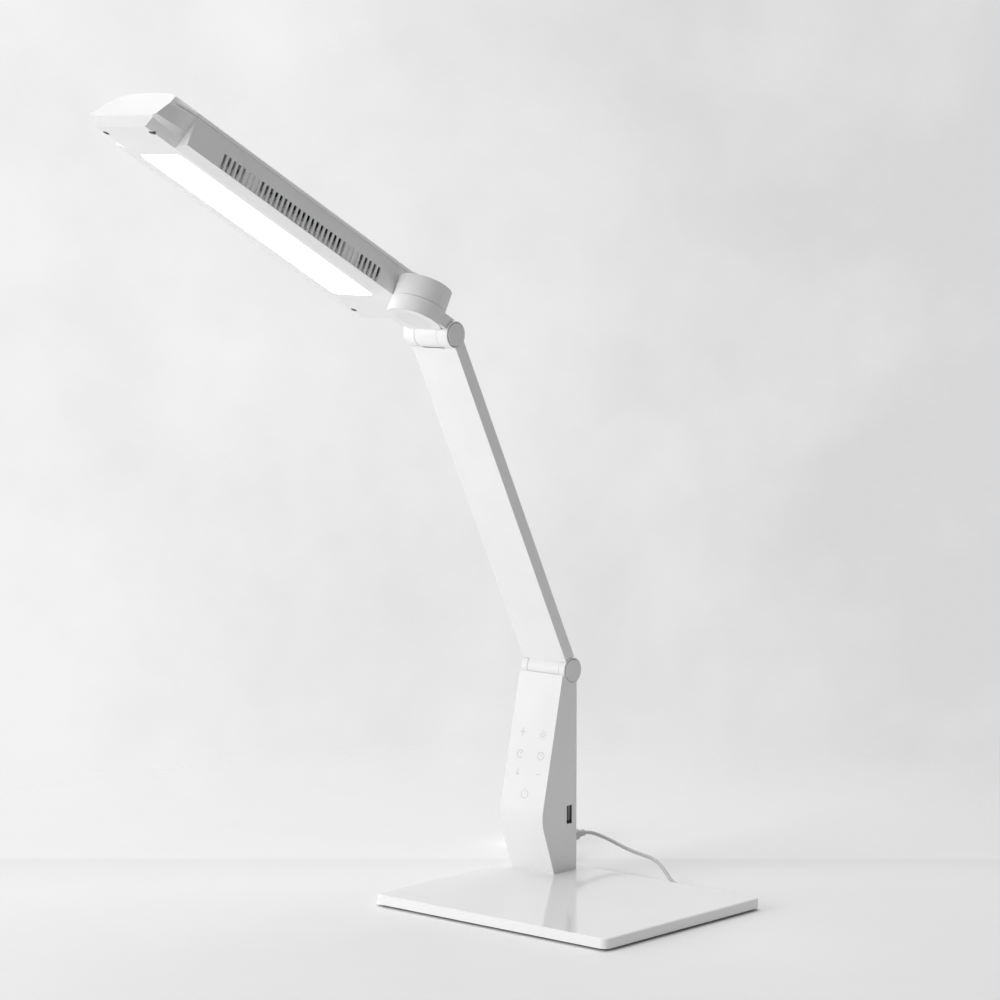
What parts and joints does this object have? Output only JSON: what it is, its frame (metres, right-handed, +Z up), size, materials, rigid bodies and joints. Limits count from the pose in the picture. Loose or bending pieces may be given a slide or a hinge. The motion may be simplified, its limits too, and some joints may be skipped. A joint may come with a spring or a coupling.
{
  "type": "light therapy lamp",
  "caption": "Desk light therapy lamp: weighted flat foot, raked post with touch keys, swing arm and a long tilting, swivelling light head with an opal panel.",
  "frame": {"origin": "centre of the foot's rest face on the table", "axes": "+Z up, -Y towards the user, +X to the right when facing the lamp's front"},
  "size_m": [0.2839, 0.4625, 0.5355],
  "materials": {
    "shell_white": "satin",
    "foot_gloss": "glossy",
    "cap_white": "satin",
    "weight_steel": "satin",
    "mat_rubber": "matte",
    "screw_steel": "satin",
    "board_green": "matte",
    "component_dark": "matte",
    "port_metal": "polished",
    "port_tongue": "matte",
    "washer_nylon": "matte",
    "diffuser_opal": "matte",
    "reflector_white": "matte",
    "board_aluminium": "satin",
    "led_lens": "matte",
    "cable_sheath": "matte",
    "adapter_plastic": "matte"
  },
  "bodies": {
    "base": {"base_cover": "foot_gloss", "base_weight": "weight_steel", "base_mat": "mat_rubber", "base_screws": "screw_steel", "post_base_screws": "screw_steel", "post_housing": "shell_white", "post_rear_cover": "shell_white", "post_screws": "screw_steel", "touch_board": "board_green", "control_board": "board_green", "board_components": "component_dark", "usb_socket": "port_metal", "usb_tongue": "port_tongue", "dc_jack": "component_dark", "lower_axle": "screw_steel", "lower_axle_nut": "screw_steel", "lower_hinge_caps": "cap_white", "dc_plug": "cable_sheath", "power_lead": "cable_sheath", "lead_coil": "cable_sheath", "lead_tail": "cable_sheath", "adapter_case": "adapter_plastic", "adapter_pins": "port_metal"},
    "arm": {"arm_front_shell": "shell_white", "arm_rear_cover": "shell_white", "arm_screws": "screw_steel", "arm_core": "weight_steel", "arm_ribbon_cable": "cable_sheath", "lower_friction_washers": "washer_nylon", "upper_axle": "screw_steel", "upper_axle_nut": "screw_steel", "upper_hinge_caps": "cap_white"},
    "neck": {"neck": "shell_white", "neck_cap": "cap_white", "upper_friction_washers": "washer_nylon", "swivel_axle": "screw_steel", "swivel_washer": "washer_nylon", "swivel_spring_washer": "screw_steel", "swivel_nut": "screw_steel"},
    "head": {"head_lower_shell": "shell_white", "head_roof": "shell_white", "head_screws": "screw_steel", "light_diffuser": "diffuser_opal", "light_reflector": "reflector_white", "led_board": "board_aluminium", "leds": "led_lens", "heat_sink_plate": "board_aluminium", "driver_board": "board_green"}
  },
  "joints": [
    {"name": "arm_tilt", "type": "hinge", "parent": "base", "child": "arm", "pos_m": [-0.0697, 0.0645, 0.1463], "axis": [1, 0, 0], "range_deg": [-37, 38]},
    {"name": "head_tilt", "type": "hinge", "parent": "arm", "child": "neck", "pos_m": [-0.0697, -0.0538, 0.3808], "axis": [-1, 0, 0], "range_deg": [-75, 35]},
    {"name": "head_swivel", "type": "hinge", "parent": "neck", "child": "head", "pos_m": [-0.0697, -0.06854, 0.3999], "axis": [0, 0.471, 0.8821], "range_deg": [-90, 90]}
  ]
}
